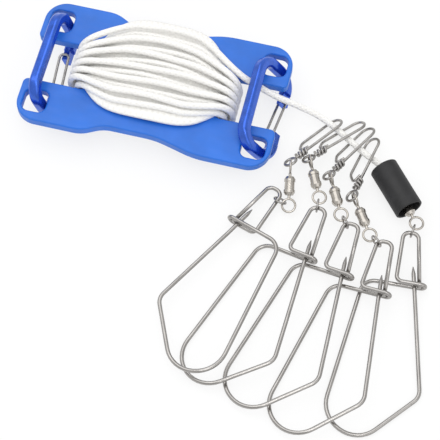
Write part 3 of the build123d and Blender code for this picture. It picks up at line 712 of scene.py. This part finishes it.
class STRINGER_OT_board(bpy.types.Operator):
    """Finish the winder board and its carabiners"""
    bl_idname = "stringer.board"
    bl_label = "Board and carabiners"

    def execute(self, context):
        metal = context.scene.stringer_metal
        plastic = moulded_blue("board plastic", metal.board, roughness=0.40, grain=0.10)
        blue = anodised_blue("carabiner blue", metal.carabiner)
        wire = drawn_steel("gate wire", metal.steel, rough=0.26, along=False)
        coat(NODES["winder_board"], plastic)
        coat_nodes(lambda n: n.endswith("carabiner_body"), blue)
        coat_nodes(lambda n: n.endswith("carabiner_gate"), wire)
        return {"FINISHED"}


class STRINGER_OT_tackle(bpy.types.Operator):
    """Finish the swivels, link rings and line clips"""
    bl_idname = "stringer.tackle"
    bl_label = "Swivels, rings and clips"

    def execute(self, context):
        metal = context.scene.stringer_metal
        nickel = drawn_steel("swivel nickel", metal.nickel, rough=0.18, along=False)
        ring = drawn_steel("ring steel", metal.steel, rough=0.22, along=False)
        clip = drawn_steel("clip wire", metal.steel, rough=0.27, along=False)
        coat_nodes(lambda n: n.startswith("swivel_"), nickel)
        coat_nodes(lambda n: n.startswith("link_ring"), ring)
        coat_nodes(lambda n: n.startswith("line_clip"), clip)
        return {"FINISHED"}


class STRINGER_OT_stage(bpy.types.Operator):
    """Lay the floor, hang the lamps and set the camera at the photograph's angle"""
    bl_idname = "stringer.stage"
    bl_label = "Stage"

    def execute(self, context):
        scene = context.scene
        stage = scene.stringer_stage
        mesh = bmesh.new()
        bmesh.ops.create_grid(mesh, x_segments=1, y_segments=1, size=FLOOR_REACH,
                              matrix=Matrix.Translation((0.0, 0.0, -FLOOR_DROP)))
        floor = keep("floor", mesh)
        coat(floor, self.white_floor(stage))

        world = bpy.data.worlds.new("studio")
        world.use_nodes = True
        sky = world.node_tree.nodes["Background"]
        sky.inputs["Color"].default_value = (1.0, 1.0, 1.0, 1.0)
        sky.inputs["Strength"].default_value = stage.sky
        scene.world = world
        for name, place, size, share in LAMPS:
            lamp = bpy.data.lights.new(name, "AREA")
            lamp.size = size
            lamp.energy = stage.lamp * share
            holder = bpy.data.objects.new(name, lamp)
            holder.location = place
            holder.rotation_euler = (-Vector(place)).to_track_quat("-Z", "Y").to_euler()
            scene.collection.objects.link(holder)

        camera = bpy.data.cameras.new("camera")
        camera.lens = stage.lens
        camera.sensor_width = SENSOR_WIDTH
        holder = bpy.data.objects.new("camera", camera)
        holder.location = stage.eye
        holder.rotation_euler = (Vector(stage.target) - Vector(stage.eye)).to_track_quat("-Z", "Y").to_euler()
        scene.collection.objects.link(holder)
        scene.camera = holder
        scene.view_settings.view_transform = "Standard"
        return {"FINISHED"}

    def white_floor(self, stage):
        """Pale floor that the camera and shiny pieces see as partly lit paper, so its shadows stay soft."""
        material, nodes, link, shader = tree_of("pale floor")
        shader.inputs["Base Color"].default_value = (*stage.floor, 1.0)
        shader.inputs["Roughness"].default_value = 0.9
        path = nodes.new("ShaderNodeLightPath")
        seen = math_node(nodes, link, "MAXIMUM", path.outputs["Is Camera Ray"], path.outputs["Is Glossy Ray"])
        seen = math_node(nodes, link, "MAXIMUM", seen, path.outputs["Is Transmission Ray"])
        paper, mix = nodes.new("ShaderNodeEmission"), nodes.new("ShaderNodeMixShader")
        link(math_node(nodes, link, "MULTIPLY", seen, stage.paper), mix.inputs[0])
        link(shader.outputs[0], mix.inputs[1])
        link(paper.outputs[0], mix.inputs[2])
        link(mix.outputs[0], nodes["Material Output"].inputs["Surface"])
        return material


class STRINGER_PT_panel(bpy.types.Panel):
    """List of the stringer's pieces and their settings"""
    bl_idname = "STRINGER_PT_panel"
    bl_label = "Fish stringer"
    bl_space_type = "VIEW_3D"
    bl_region_type = "UI"
    bl_category = "Stringer"

    def draw(self, context):
        for key in GROUPS:
            group = getattr(context.scene, key)
            box = self.layout.box()
            for name in group.__annotations__:
                box.prop(group, name)
        for operator in OPERATORS:
            self.layout.operator(operator.bl_idname)


GROUPS = {"stringer_rope": StringerRope, "stringer_metal": StringerMetal, "stringer_stage": StringerStage}
OPERATORS = (STRINGER_OT_board, STRINGER_OT_rope, STRINGER_OT_sleeve, STRINGER_OT_tackle, STRINGER_OT_snaps,
             STRINGER_OT_stage)


def register():
    for name, group in GROUPS.items():
        bpy.utils.register_class(group)
        setattr(bpy.types.Scene, name, bpy.props.PointerProperty(type=group))
    for operator in OPERATORS:
        bpy.utils.register_class(operator)
    bpy.utils.register_class(STRINGER_PT_panel)


def unregister():
    bpy.utils.unregister_class(STRINGER_PT_panel)
    for operator in reversed(OPERATORS):
        bpy.utils.unregister_class(operator)
    for name, group in GROUPS.items():
        delattr(bpy.types.Scene, name)
        bpy.utils.unregister_class(group)


def main():
    register()
    bpy.ops.stringer.board()
    bpy.ops.stringer.rope()
    bpy.ops.stringer.sleeve()
    bpy.ops.stringer.tackle()
    bpy.ops.stringer.snaps()
    bpy.ops.stringer.stage()
    bpy.context.view_layer.update()


if __name__ == "__main__":
    main()
